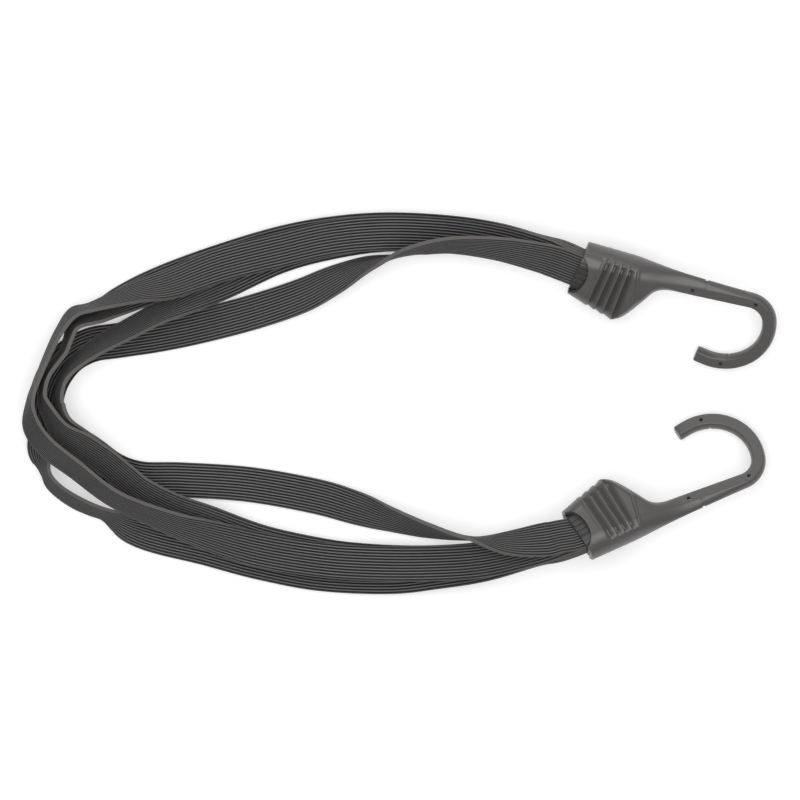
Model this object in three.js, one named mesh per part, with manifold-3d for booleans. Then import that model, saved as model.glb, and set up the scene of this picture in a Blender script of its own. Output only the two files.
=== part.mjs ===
// A flat bungee cord: four woven elastic bands, held at each end in the socket of a moulded hook.
// Millimetres, +Z up. It lies on a table in a long open loop, with both hooks on the right (+X).
// The origin is on the table, midway between the two hooks.
import * as THREE from "three";
import { mergeVertices } from "three/addons/utils/BufferGeometryUtils.js";
import Module from "manifold-3d";

const wasm = await Module();
wasm.setup();

// Gap between pieces that seat on each other
const FIT_GAP = 0.3;

// Elastic bands
const BAND_WIDTH = 18;
const BAND_THICKNESS = 2;
const BAND_EDGE = 0.6; // how far each long edge is rounded in from the side
const BAND_STEPS = 78;
const BAND_COUNT = 4;
const TAIL_LENGTH = 24; // length of each band inside a socket
const TAIL_POINTS = 3; // steps of its path there
const LEAD_LENGTH = 10; // from the mouth to the point where its route takes over

// Hook rod, in the hook's own plane: x runs along the shank from the mouth, y points to the spine
const ROD_WIDTH = 7.5;
const ROD_THICKNESS = 7;
const ROD_FLAT = 5; // width of the flat on each face
const ROD_EDGE = 50; // degrees of arc on each side of the parting line; below 90 the flat has a crisp edge
const SHANK_LENGTH = 89.8; // mouth to the start of the bend
const TIGHT_RADIUS = 12; // of the bend's first part, to the rod's centre line
const TIGHT_SWEEP = 77; // degrees
const WIDE_RADIUS = 24.2; // of the rest of the bend
const BEND_SWEEP = 192; // degrees in all
const BEND_STEPS = 17;
const POINT_LENGTH = 5.5; // straight end after the bend
const POINT_CHAMFER = 0.8;

// Socket
const SOCKET_THICKNESS = 20;
const SOCKET_ROUNDING = 9; // how far the belly side is rounded in
const SOCKET_WALL = 2.3;
const LEAST_ROUNDING = 0.5; // of the cavity's edges
const QUARTER_STEPS = 4; // steps of each rounded quarter of the outline
const SMOOTH_SPINE_STEPS = 1; // steps next to the spine that the grip's grooves leave smooth
const MOUTH_WIDTH = 29.2;
const MOUTH_CENTRE = -2.6; // y of the mouth's middle
const MOUTH_SLANT = 12; // degrees between the mouth and a square cut across the shank
const BELLY_AT = 27.7; // x of the belly's corner
const BELLY_DEPTH = 28; // from the shank's centre line to the belly's corner
const BELLY_CORNER = 4; // half the length of the belly's rounded corner
const NECK_START = 39.5; // x where the belly's straight taper ends
const NECK_DEPTH = 8.5; // from the shank's centre line to the end of that taper
const NECK_END = 50; // x where the neck has become the shank
const THINNING_START = 24; // x where the socket starts to thin down to the rod
const THINNING_END = 62;
const CAVITY_DEPTH = 32;

// Finger grip: grooves across the front, belly and back of the socket, but not its spine
const GRIP_START = 12;
const GRIP_PITCH = 4.4;
const GRIP_GROOVES = 4;
const GRIP_DEPTH = 1.3;
const GRIP_BELLY_DEPTH = 0.5; // along the belly

// Crescent cut in each face of the socket at the mouth, which shows the collar
const CRESCENT_REACH = 6;
const CRESCENT_WIDTH = 22;

// Collar in the mouth and toothed wedge behind it
const COLLAR_DEPTH = 6.5;
const COLLAR_SLOTS = 6;
const COLLAR_SLOT_WIDTH = 1.3;
const COLLAR_SLOT_DEPTH = 0.6;
const WEDGE_START = 11; // depth of the wedge's thin end behind the mouth
const WEDGE_BACK = 3; // thickness of its thick end
const WEDGE_WIDTH = 16;
const WEDGE_TEETH = 6;
const TOOTH_HEIGHT = 0.35;

// Steel core inside the rod, and the marks that the pins holding it leave in the moulding
const CORE_DIAMETER = 3;
const CORE_START = 40; // x of its end in the shank
const CORE_SHORT_OF_POINT = 3;
const PIN_DIAMETER = 2;
const FIRST_PIN = 60.2; // x of the pin hole in the shank
const SECOND_PIN = 16.5; // degrees round the bend
const THIRD_PIN = 172;
const NICK_WIDTH = 1.5; // notch across the edge of the rod
const NICK_DEPTH = 0.7;
const SHANK_NICK = 66.3; // x of the notch in the spine
const BEND_NICK = 162; // degrees round the bend of the notch on the inside

// How each hook lies: the shank's heading, then a tilt that lifts the spine off the table
const HOOKS = {
  hook_a: { at: [11.8, 55.9], heading: -11.3, tiltAxis: -18, tilt: 30, faceUp: true },
  hook_b: { at: [9.9, -50.2], heading: 20.7, tiltAxis: 8, tilt: -23.7, faceUp: false },
};

// Routes of the bands from hook a to hook b: x, y, height, and roll in degrees.
// Roll 0 lies flat, and a negative roll lowers the edge on the outside of the loop.
const ROUTES = {
  band_outer: [
    [-66.5, 75.2, 18.5, 24], [-88.5, 80.8, 14.6, 13], [-114.5, 84.4, 10.8, 4], [-145.5, 85.6, 8.2, 0],
    [-173.5, 83, 7.6, -2], [-199.5, 77, 7.6, -5], [-230.5, 69, 8.6, -12], [-255.5, 59.5, 11, -32],
    [-273.5, 55, 14.5, -57], [-295.5, 47.8, 15, -78], [-305.5, 44.5, 15, -76], [-312.5, 35, 15, -80],
    [-317.5, 25, 15, -82], [-322, 14.5, 15, -84], [-327, 1, 16, -82], [-327.5, -11, 20, -66],
    [-319.5, -23.5, 25, -60], [-303.5, -36, 26, -62], [-284, -50.5, 27.5, -64], [-257.5, -62, 18.5, -54],
    [-238.5, -68.5, 12, -36], [-210.5, -76.5, 8.8, -10], [-181.5, -81.5, 8.2, -3], [-158.5, -83.5, 8.4, 0],
    [-127.5, -84, 11, 6], [-96.5, -82.2, 17.5, 13], [-68.5, -76, 25, 20],
  ],
  band_inner: [
    [-66.5, 76, 16.4, 24], [-88.5, 82, 12.2, 13], [-114.5, 85.8, 8.2, 4], [-145.5, 87.2, 5.6, 0],
    [-173.5, 85, 5, -2], [-199.5, 80, 5, -4], [-229.5, 71, 5, -8], [-257.5, 61, 5.6, -18],
    [-279.5, 51.5, 7, -38], [-292.5, 44, 10.5, -60], [-304.5, 38.5, 13, -74], [-308, 31, 13, -78],
    [-310.5, 24.5, 13, -80], [-318, 14, 13, -82], [-321, 6, 13, -80], [-321, -1, 13.5, -76],
    [-317.5, -8, 16, -68], [-311.5, -16.8, 18.4, -56], [-301.5, -23, 17.4, -46], [-289.5, -31, 15, -45],
    [-279.5, -39.3, 13.2, -43], [-269.9, -47, 12, -42], [-254.5, -55.5, 10.2, -34], [-238.5, -61.5, 8.6, -28],
    [-210.5, -72.5, 6, -11], [-181.5, -79.2, 5.4, -3], [-158.5, -82.3, 5.8, 0], [-127.5, -83.6, 8.3, 6],
    [-96.5, -81.6, 14.8, 13], [-68.5, -75.5, 22.3, 20],
  ],
  band_crossing: [
    [-66.5, 76.2, 13.6, 24], [-88.5, 81.4, 9.5, 13], [-114.5, 84.4, 5.6, 4], [-145.5, 85, 3, 0],
    [-173.5, 81, 2.4, 0], [-199.5, 74, 2.4, -2], [-225.5, 62, 3.2, -8], [-245.5, 52.5, 7.2, -34],
    [-262.5, 44, 11, -54], [-276.5, 36.5, 12, -58], [-290.5, 29, 12.5, -62], [-301.5, 21.5, 13, -68],
    [-309.5, 13, 13, -76], [-312.5, 5, 13, -78], [-313, -3, 13, -74], [-311.5, -10, 15, -64],
    [-306.5, -18, 12.6, -40], [-296.5, -27, 6.2, -20], [-284.5, -36, 3, -8], [-270.5, -40.5, 2, -3],
    [-249.5, -41, 1.8, 0], [-215.5, -43.3, 1.8, -1], [-181.5, -49.3, 2.6, -8], [-160.5, -55.3, 4.8, -24],
    [-143.5, -60.8, 8, -50], [-127.5, -65.6, 11.5, -66], [-112.5, -69, 15, -80], [-98.5, -71, 20, -95],
    [-80.5, -72.8, 26.5, -132], [-64.5, -71.5, 30.6, -158],
  ],
  band_drooping: [
    [-66.5, 73, 23.5, 38], [-88.5, 77.5, 23, 54], [-111.5, 79.2, 22, 67], [-128.5, 76.9, 18.8, 76],
    [-141.5, 73, 11.6, 91], [-155.5, 69, 8.8, 114], [-172.5, 61, 6.4, 142], [-189.5, 53, 3.8, 162],
    [-213.5, 45, 2.2, 174], [-240.5, 38, 1.6, 178], [-262.5, 33.5, 1.4, 180], [-282.5, 30.5, 1.4, 180],
    [-295.5, 28.5, 1.4, 180], [-306.5, 23, 1.4, 180], [-314, 14.5, 1.4, 180], [-318.3, 5, 1.4, 180],
    [-320, -6, 1.4, 180], [-318.4, -14, 1.8, 178], [-320, -22, 3.2, 166], [-320.8, -30, 8.4, 116],
    [-319.5, -37, 9.5, 103], [-316.5, -43, 9.4, 106], [-311, -48, 9.4, 107], [-304, -52.4, 9.4, 108],
    [-296.7, -55.8, 9.4, 107], [-288.5, -58.8, 9.2, 108], [-281, -62.4, 7.8, 128], [-272.5, -66.4, 4.4, 157],
    [-260, -70.4, 2.2, 173], [-238.5, -75.5, 1.6, 179], [-210.5, -83, 1.5, 180], [-178.5, -89, 1.6, 180],
    [-143.5, -90.5, 2.8, 182], [-119.5, -88, 6.6, 187], [-94.5, -84, 13, 193], [-68.5, -76.5, 19.6, 200],
  ],
};

// Which layer of the stack each band takes in each socket, from the top. Hook b can hold it turned over,
// and there it swings by an angle in the hook's plane as it leaves the mouth.
const LAYERS = {
  band_outer: { hook_a: 1, hook_b: 1, turned: false, swing: 14 },
  band_inner: { hook_a: 2, hook_b: 2, turned: false, swing: 14 },
  band_crossing: { hook_a: 3, hook_b: 0, turned: true, swing: 20 },
  band_drooping: { hook_a: 0, hook_b: 3, turned: true, swing: 14 },
};

const radians = THREE.MathUtils.degToRad;
const { lerp, smoothstep, clamp } = THREE.MathUtils;
const MOUTH_SHEAR = Math.tan(radians(MOUTH_SLANT));
const LAYER_PITCH = BAND_THICKNESS + FIT_GAP;
const UP = new THREE.Vector3(0, 0, 1);

// Materials
const moulded = new THREE.MeshStandardMaterial({ color: 0x58595b, roughness: 0.55, metalness: 0 });
const collarPlastic = new THREE.MeshStandardMaterial({ color: 0x4a4b4d, roughness: 0.6, metalness: 0 });
const wedgePlastic = new THREE.MeshStandardMaterial({ color: 0x8b8c8e, roughness: 0.6, metalness: 0 });
const steel = new THREE.MeshStandardMaterial({ color: 0xa9abad, roughness: 0.35, metalness: 1 });
const elastic = new THREE.MeshStandardMaterial({ color: 0x2e2d2e, roughness: 0.9, metalness: 0 });

// Solids: a three.js geometry as a manifold, and back
function solid(geometry) {
  const bare = geometry.clone();
  for (const name of Object.keys(bare.attributes)) {
    if (name !== "position") bare.deleteAttribute(name);
  }
  const merged = mergeVertices(bare, 1e-4);
  const mesh = { numProp: 3, vertProperties: merged.attributes.position.array };
  mesh.triVerts = new Uint32Array(merged.index.array);
  return new wasm.Manifold(new wasm.Mesh(mesh));
}

function geometryOf(manifold) {
  const { vertProperties, triVerts } = manifold.getMesh();
  const geometry = new THREE.BufferGeometry();
  geometry.setAttribute("position", new THREE.BufferAttribute(new Float32Array(vertProperties), 3));
  geometry.setIndex(new THREE.BufferAttribute(new Uint32Array(triVerts), 1));
  return geometry;
}

// A skin through rings of equally many points, closed by a fan at each end
function loft(rings) {
  const count = rings[0].length;
  const points = rings.flat();
  const faces = [];
  for (let r = 0; r + 1 < rings.length; r++) {
    for (let i = 0; i < count; i++) {
      const a = r * count + i;
      const b = r * count + ((i + 1) % count);
      faces.push(a, b, b + count, a, b + count, a + count);
    }
  }
  const last = (rings.length - 1) * count;
  for (let i = 0; i < count; i++) {
    const next = (i + 1) % count;
    faces.push(points.length, next, i, points.length + 1, last + i, last + next);
  }
  for (const ring of [rings[0], rings[rings.length - 1]]) {
    const middle = new THREE.Vector3();
    ring.forEach((point) => middle.addScaledVector(point, 1 / count));
    points.push(middle);
  }
  const geometry = new THREE.BufferGeometry().setFromPoints(points);
  geometry.setIndex(faces);
  return geometry;
}

// Belly side of the hook's outline, from the mouth to the start of the bend
const bellyLine = new THREE.Path();
const mouthBelly = MOUTH_CENTRE - MOUTH_WIDTH / 2;
const bellySlope = (-BELLY_DEPTH - mouthBelly) / BELLY_AT;
const taperSlope = (BELLY_DEPTH - NECK_DEPTH) / (NECK_START - BELLY_AT);
bellyLine.moveTo(0, mouthBelly);
bellyLine.lineTo(BELLY_AT - BELLY_CORNER, -BELLY_DEPTH - bellySlope * BELLY_CORNER);
bellyLine.quadraticCurveTo(
  BELLY_AT, -BELLY_DEPTH,
  BELLY_AT + BELLY_CORNER, -BELLY_DEPTH + taperSlope * BELLY_CORNER,
);
bellyLine.lineTo(NECK_START, -NECK_DEPTH);
bellyLine.quadraticCurveTo(
  NECK_START + (NECK_DEPTH - ROD_WIDTH / 2) / taperSlope, -ROD_WIDTH / 2,
  NECK_END, -ROD_WIDTH / 2,
);
bellyLine.lineTo(SHANK_LENGTH, -ROD_WIDTH / 2);
const bellyPoints = bellyLine.getPoints(10);

function bellyAt(x) {
  const after = bellyPoints.findIndex((point) => point.x >= x);
  if (after <= 0) return bellyPoints[after === 0 ? 0 : bellyPoints.length - 1].y;
  const [p, q] = [bellyPoints[after - 1], bellyPoints[after]];
  return lerp(p.y, q.y, (x - p.x) / (q.x - p.x));
}

// The hook's outline at x along the socket and shank, drawn in by inset all round
function outlineAt(x, inset = 0) {
  const along = clamp(x, 0, SHANK_LENGTH);
  const thin = smoothstep(along, THINNING_START, THINNING_END);
  const spine = lerp(MOUTH_CENTRE + MOUTH_WIDTH / 2, ROD_WIDTH / 2, along / SHANK_LENGTH);
  const bellyRounding = lerp(SOCKET_ROUNDING, (ROD_WIDTH - ROD_FLAT) / 2, thin);
  return {
    spine: spine - inset,
    belly: bellyAt(along) + inset,
    half: lerp(SOCKET_THICKNESS, ROD_THICKNESS, thin) / 2 - inset,
    spineRounding: Math.max(spine - ROD_FLAT / 2 - inset / 2, LEAST_ROUNDING),
    bellyRounding: Math.max(bellyRounding - inset / 2, LEAST_ROUNDING),
    edge: radians(lerp(90, ROD_EDGE, thin)),
    shear: MOUTH_SHEAR * (1 - smoothstep(along, BELLY_AT / 2, NECK_END)),
  };
}

// Ring points of an outline as [y, z]: spine, front, belly, back. Grooves leave the spine smooth.
function outlineRing({ spine, belly, half, spineRounding, bellyRounding, edge }, groove = 0) {
  const spineSide = [];
  const bellySide = [];
  for (let i = 0; i <= QUARTER_STEPS; i++) {
    const angle = (i / QUARTER_STEPS) * edge;
    const inward = (1 - Math.cos(angle)) / (1 - Math.cos(edge));
    const rise = Math.sin(angle) / Math.sin(edge);
    const depth = i > SMOOTH_SPINE_STEPS ? groove : 0;
    spineSide.push([spine - spineRounding * inward - depth * (1 - inward), (half - depth) * rise]);
    const bellyDepth = groove * lerp(GRIP_BELLY_DEPTH / GRIP_DEPTH, 1, inward);
    bellySide.push([belly + bellyRounding * inward + bellyDepth * (1 - inward), (half - bellyDepth) * rise]);
  }
  const front = spineSide.concat(bellySide.reverse());
  const back = front.slice(1, -1).reverse().map(([y, z]) => [y, -z]);
  return front.concat(back);
}

function socketRing(x, inset = 0, groove = 0) {
  const outline = outlineAt(x, inset);
  return outlineRing(outline, groove).map(
    ([y, z]) => new THREE.Vector3(x + outline.shear * (y - MOUTH_CENTRE), y, z),
  );
}

// The rod's ring at an angle round the bend, and further along the point that follows it
function bendRing(degrees, beyond = 0, shrink = 0) {
  const angle = radians(degrees);
  const outward = new THREE.Vector3(Math.sin(angle), Math.cos(angle), 0);
  const centre = bendPoint(degrees, beyond);
  const outline = outlineAt(SHANK_LENGTH, shrink);
  return outlineRing(outline).map(([y, z]) => centre.clone().addScaledVector(outward, y).setZ(z));
}

function bendPoint(degrees, beyond = 0) {
  const angle = radians(degrees);
  const tight = Math.min(angle, radians(TIGHT_SWEEP));
  const x = TIGHT_RADIUS * Math.sin(tight) + WIDE_RADIUS * (Math.sin(angle) - Math.sin(tight));
  const y = TIGHT_RADIUS * (Math.cos(tight) - 1) + WIDE_RADIUS * (Math.cos(angle) - Math.cos(tight));
  return new THREE.Vector3(
    SHANK_LENGTH + x + beyond * Math.cos(angle), y - beyond * Math.sin(angle), 0,
  );
}

// Places along the socket and shank where the skin has a ring, with the groove depth there
function socketStations() {
  const stations = [[0, 0], [GRIP_START / 2, 0]];
  for (let i = 0; i < GRIP_GROOVES; i++) {
    const start = GRIP_START + i * GRIP_PITCH;
    stations.push([start, 0], [start + GRIP_PITCH * 0.25, GRIP_DEPTH]);
    stations.push([start + GRIP_PITCH * 0.6, GRIP_DEPTH * 0.7]);
  }
  const gripEnd = GRIP_START + GRIP_GROOVES * GRIP_PITCH;
  stations.push([gripEnd, 0]);
  const rest = [0.25, 0.5, 0.75, 1].map((part) => lerp(gripEnd, NECK_START, part));
  const neck = [0.25, 0.5, 0.75, 1].map((part) => lerp(NECK_START, NECK_END, part));
  const shank = [0.2, 0.4, 0.7, 1].map((part) => lerp(NECK_END, SHANK_LENGTH, part));
  return stations.concat([...rest, ...neck, ...shank].map((x) => [x, 0]));
}

// A straight bar of round section between two points
function bar(from, to, radius, sides = 10) {
  const along = new THREE.Vector3().subVectors(to, from);
  const geometry = new THREE.CylinderGeometry(radius, radius, along.length(), sides);
  const turn = new THREE.Quaternion().setFromUnitVectors(
    new THREE.Vector3(0, 1, 0), along.clone().normalize(),
  );
  geometry.applyQuaternion(turn);
  const middle = new THREE.Vector3().addVectors(from, to).multiplyScalar(0.5);
  return geometry.translate(middle.x, middle.y, middle.z);
}

// A round rod that follows the shank and the bend, between x in the shank and a length of the point
function bentRod(startX, pointLength, radius, sides) {
  const ringAt = (centre, outward) => {
    const ring = [];
    for (let i = 0; i < sides; i++) {
      const angle = (i / sides) * 2 * Math.PI;
      const point = centre.clone().addScaledVector(outward, radius * Math.cos(angle));
      ring.push(point.setZ(radius * Math.sin(angle)));
    }
    return ring;
  };
  const straight = new THREE.Vector3(0, 1, 0);
  const rings = [ringAt(new THREE.Vector3(startX, 0, 0), straight)];
  for (let i = 0; i <= BEND_STEPS; i++) {
    const degrees = (i / BEND_STEPS) * BEND_SWEEP;
    const angle = radians(degrees);
    rings.push(ringAt(bendPoint(degrees), new THREE.Vector3(Math.sin(angle), Math.cos(angle), 0)));
  }
  const end = radians(BEND_SWEEP);
  const outward = new THREE.Vector3(Math.sin(end), Math.cos(end), 0);
  rings.push(ringAt(bendPoint(BEND_SWEEP, pointLength), outward));
  return loft(rings);
}

// A notch across one side of the rod: a box outside that side, less the rod drawn in by the notch's depth
function nickCutter(centre, turnDegrees, drawnIn) {
  const box = new THREE.BoxGeometry(NICK_WIDTH, ROD_WIDTH, ROD_THICKNESS * 2);
  box.translate(0, (ROD_FLAT + ROD_WIDTH) / 2, 0).rotateZ(radians(turnDegrees));
  return solid(box.translate(centre.x, centre.y, 0)).subtract(solid(loft(drawnIn)));
}

// Socket frame: inwards from the mouth, and across the mouth towards the spine
const slant = radians(MOUTH_SLANT);
const inwards = new THREE.Vector3(Math.cos(slant), -Math.sin(slant), 0);
const acrossMouth = new THREE.Vector3(Math.sin(slant), Math.cos(slant), 0);
const mouthMiddle = new THREE.Vector3(0, MOUTH_CENTRE, 0);

function hookBody() {
  const rings = socketStations().map(([x, groove]) => socketRing(x, 0, groove));
  for (let i = 1; i <= BEND_STEPS; i++) rings.push(bendRing((i / BEND_STEPS) * BEND_SWEEP));
  rings.push(bendRing(BEND_SWEEP, POINT_LENGTH - POINT_CHAMFER));
  rings.push(bendRing(BEND_SWEEP, POINT_LENGTH, POINT_CHAMFER));
  let body = solid(loft(rings));

  const cavityAt = [-SOCKET_THICKNESS / 2, 0, BELLY_AT / 2, BELLY_AT, CAVITY_DEPTH];
  body = body.subtract(solid(loft(cavityAt.map((x) => socketRing(x, SOCKET_WALL)))));

  const crescent = new THREE.Shape();
  crescent.absellipse(0, 0, CRESCENT_REACH, CRESCENT_WIDTH / 2, 0, 2 * Math.PI);
  const cutter = new THREE.ExtrudeGeometry(crescent, {
    depth: 2 * SOCKET_THICKNESS, bevelEnabled: false, curveSegments: 10,
  });
  cutter.translate(0, 0, -SOCKET_THICKNESS).rotateZ(-slant).translate(0, MOUTH_CENTRE, 0);
  body = body.subtract(solid(cutter));

  const boreEnd = POINT_LENGTH - CORE_SHORT_OF_POINT + FIT_GAP;
  body = body.subtract(solid(bentRod(CORE_START - FIT_GAP, boreEnd, CORE_DIAMETER / 2 + FIT_GAP, 8)));

  const pins = [new THREE.Vector3(FIRST_PIN, 0, 0), bendPoint(SECOND_PIN), bendPoint(THIRD_PIN)];
  for (const pin of pins) {
    const through = ROD_THICKNESS * 2;
    const hole = bar(pin.clone().setZ(-through), pin.clone().setZ(through), PIN_DIAMETER / 2);
    body = body.subtract(solid(hole));
  }

  const shankRings = [-1, 1].map((side) => socketRing(SHANK_NICK + side * NICK_WIDTH, NICK_DEPTH));
  body = body.subtract(nickCutter(new THREE.Vector3(SHANK_NICK, 0, 0), 0, shankRings));
  const nickTurn = THREE.MathUtils.radToDeg(NICK_WIDTH / WIDE_RADIUS);
  const bendRings = [-1, 0, 1].map((side) => bendRing(BEND_NICK + side * nickTurn, 0, NICK_DEPTH));
  return geometryOf(body.subtract(nickCutter(bendPoint(BEND_NICK), 180 - BEND_NICK, bendRings)));
}

function hookCore() {
  return bentRod(CORE_START, POINT_LENGTH - CORE_SHORT_OF_POINT, CORE_DIAMETER / 2, 8);
}

// Oval collar that fills the mouth round the bands, with slots across its front and back edges
function hookCollar() {
  const inset = SOCKET_WALL + FIT_GAP;
  const depths = [0, COLLAR_DEPTH / 2, COLLAR_DEPTH];
  let collar = solid(loft(depths.map((x) => socketRing(x, inset))));
  const stack = BAND_COUNT * LAYER_PITCH + 2 * FIT_GAP;
  const opening = new THREE.BoxGeometry(4 * COLLAR_DEPTH, BAND_WIDTH + 2 * FIT_GAP, stack);
  opening.rotateZ(-slant).translate(0, MOUTH_CENTRE, 0);
  collar = collar.subtract(solid(opening));
  const face = SOCKET_THICKNESS / 2 - inset;
  for (let i = 0; i < COLLAR_SLOTS; i++) {
    const offset = ((i + 0.5) / COLLAR_SLOTS - 0.5) * BAND_WIDTH;
    for (const side of [-face, face]) {
      const slot = new THREE.BoxGeometry(4 * COLLAR_DEPTH, COLLAR_SLOT_WIDTH, 2 * COLLAR_SLOT_DEPTH);
      slot.translate(0, offset, side).rotateZ(-slant).translate(0, MOUTH_CENTRE, 0);
      collar = collar.subtract(solid(slot));
    }
  }
  return geometryOf(collar);
}

// Height of a layer of the stack above the hook's middle plane, at a depth inside the mouth
function layerHeight(layer, depth) {
  const spread = WEDGE_BACK / 2 + FIT_GAP + BAND_THICKNESS / 2 - LAYER_PITCH / 2;
  const part = Math.max(depth - COLLAR_DEPTH, 0) / (TAIL_LENGTH - COLLAR_DEPTH);
  const fromMiddle = (BAND_COUNT - 1) / 2 - layer;
  const pitch = depth < 0 ? LAYER_PITCH + FIT_GAP : LAYER_PITCH; // the bands part a little outside
  return fromMiddle * pitch + Math.sign(fromMiddle) * spread * part;
}

// Wedge driven between the two inner bands, with teeth across both faces
function hookWedge() {
  const profile = [];
  const length = TAIL_LENGTH - WEDGE_START;
  for (let i = 0; i < WEDGE_TEETH; i++) {
    for (const part of [0, 0.7]) {
      const depth = WEDGE_START + ((i + part) / WEDGE_TEETH) * length;
      const surface = layerHeight(1, depth) - BAND_THICKNESS / 2 - FIT_GAP;
      profile.push(new THREE.Vector2(depth, Math.max(surface - (part === 0 ? TOOTH_HEIGHT : 0), 0.1)));
    }
  }
  profile.push(new THREE.Vector2(TAIL_LENGTH, WEDGE_BACK / 2));
  const mirrored = profile.slice().reverse().map(({ x, y }) => new THREE.Vector2(x, -y));
  const outline = new THREE.Shape(profile.concat(mirrored));
  const geometry = new THREE.ExtrudeGeometry(outline, { depth: WEDGE_WIDTH, bevelEnabled: false });
  geometry.translate(0, 0, -WEDGE_WIDTH / 2);
  const frame = new THREE.Matrix4().makeBasis(inwards, UP, acrossMouth.clone().negate());
  return geometry.applyMatrix4(frame).translate(0, MOUTH_CENTRE, 0);
}

// A hook as a group: its pieces share the hook's own frame, and the group lays it on the table
function layHook(name, place) {
  const group = new THREE.Group();
  const pieces = [
    ["body", hookBody(), moulded], ["core", hookCore(), steel],
    ["collar", hookCollar(), collarPlastic], ["wedge", hookWedge(), wedgePlastic],
  ];
  for (const [piece, geometry, material] of pieces) {
    const mesh = new THREE.Mesh(geometry, material);
    mesh.name = `${name}_${piece}`;
    group.add(mesh);
  }
  const axis = new THREE.Vector3(1, 0, 0).applyAxisAngle(UP, radians(place.tiltAxis));
  const tilt = new THREE.Quaternion().setFromAxisAngle(axis, radians(place.tilt));
  const heading = new THREE.Quaternion().setFromAxisAngle(UP, radians(place.heading));
  const flip = new THREE.Quaternion();
  if (!place.faceUp) flip.setFromAxisAngle(new THREE.Vector3(1, 0, 0), Math.PI);
  group.quaternion.copy(tilt).multiply(heading).multiply(flip);
  const visibleFace = place.faceUp ? ROD_THICKNESS / 2 : -ROD_THICKNESS / 2;
  const pinFace = new THREE.Vector3(FIRST_PIN, 0, visibleFace).applyQuaternion(group.quaternion);
  group.position.set(place.at[0] - pinFace.x, place.at[1] - pinFace.y, 0);
  group.updateMatrixWorld(true);
  group.position.z = -new THREE.Box3().setFromObject(group, true).min.z;
  group.updateMatrixWorld(true);
  group.userData.topSide = place.faceUp ? 1 : -1;
  return group;
}

// Points and width directions of a band inside a hook and just outside its mouth, deepest first
function tailPoints(hook, layer, { turned, swing }) {
  const across = acrossMouth.clone().transformDirection(hook.matrixWorld);
  if (turned) across.negate();
  const outside = inwards.clone().applyAxisAngle(UP, radians(swing));
  const points = [];
  for (let i = TAIL_POINTS; i >= -1; i--) {
    const depth = i >= 0 ? (i / TAIL_POINTS) * TAIL_LENGTH : -LEAD_LENGTH;
    const local = mouthMiddle.clone().addScaledVector(i >= 0 ? inwards : outside, depth);
    local.z = hook.userData.topSide * layerHeight(layer, depth);
    points.push({ at: local.applyMatrix4(hook.matrixWorld), across });
  }
  return points;
}

// A band's control points, from the bottom of one socket to the bottom of the other
function bandControls(name, hooks) {
  const { hook_a: layerA, hook_b: layerB, ...arrival } = LAYERS[name];
  const route = ROUTES[name];
  const places = route.map(([x, y, z]) => new THREE.Vector3(x, y, z));
  const free = route.map(([, , , roll], i) => {
    const before = places[Math.max(i - 1, 0)];
    const after = places[Math.min(i + 1, places.length - 1)];
    const tangent = new THREE.Vector3().subVectors(after, before).normalize();
    const outward = new THREE.Vector3().crossVectors(tangent, UP).normalize();
    const upward = new THREE.Vector3().crossVectors(outward, tangent);
    const across = outward.multiplyScalar(Math.cos(radians(roll)));
    return { at: places[i], across: across.addScaledVector(upward, Math.sin(radians(roll))) };
  });
  const start = tailPoints(hooks.hook_a, layerA, { turned: false, swing: 0 });
  const end = tailPoints(hooks.hook_b, layerB, arrival).reverse();
  return [...start, ...free, ...end];
}

// A flat woven band swept along its controls, its width turning from one control to the next
function bandGeometry(controls) {
  const path = new THREE.CatmullRomCurve3(controls.map(({ at }) => at), false, "catmullrom", 0.5);
  const widths = new THREE.CatmullRomCurve3(controls.map(({ across }) => across), false, "catmullrom", 0.5);
  const half = BAND_WIDTH / 2;
  const thick = BAND_THICKNESS / 2;
  const section = [
    [half, 0], [half - BAND_EDGE, thick], [0, thick], [BAND_EDGE - half, thick],
    [-half, 0], [BAND_EDGE - half, -thick], [0, -thick], [half - BAND_EDGE, -thick],
  ];
  const rings = [];
  for (let i = 0; i <= BAND_STEPS; i++) {
    const t = i / BAND_STEPS;
    const centre = path.getPoint(t);
    const tangent = path.getTangent(t);
    const across = widths.getPoint(t);
    across.addScaledVector(tangent, -across.dot(tangent)).normalize();
    const normal = new THREE.Vector3().crossVectors(tangent, across);
    rings.push(section.map(([w, n]) =>
      centre.clone().addScaledVector(across, w).addScaledVector(normal, n),
    ));
  }
  return loft(rings);
}

const bungee = new THREE.Group();
const hooks = {};
for (const [name, place] of Object.entries(HOOKS)) {
  hooks[name] = layHook(name, place);
  bungee.add(hooks[name]);
}
for (const name of Object.keys(ROUTES)) {
  const band = new THREE.Mesh(bandGeometry(bandControls(name, hooks)), elastic);
  band.name = name;
  bungee.add(band);
}

export default bungee;
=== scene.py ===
"""Looks for a flat bungee cord: four ribbed elastic bands between two moulded hooks, seen from above.

Metres, +Z up. Each band is swept along the same route as in the CAD part, with its ribs, and is cut in two
at the left bend, each half running on to one of the hooks. The hooks are finer lofts of the CAD shape.
"""

import math

import bmesh
import bpy
import numpy as np
from mathutils import Matrix, Vector


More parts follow.
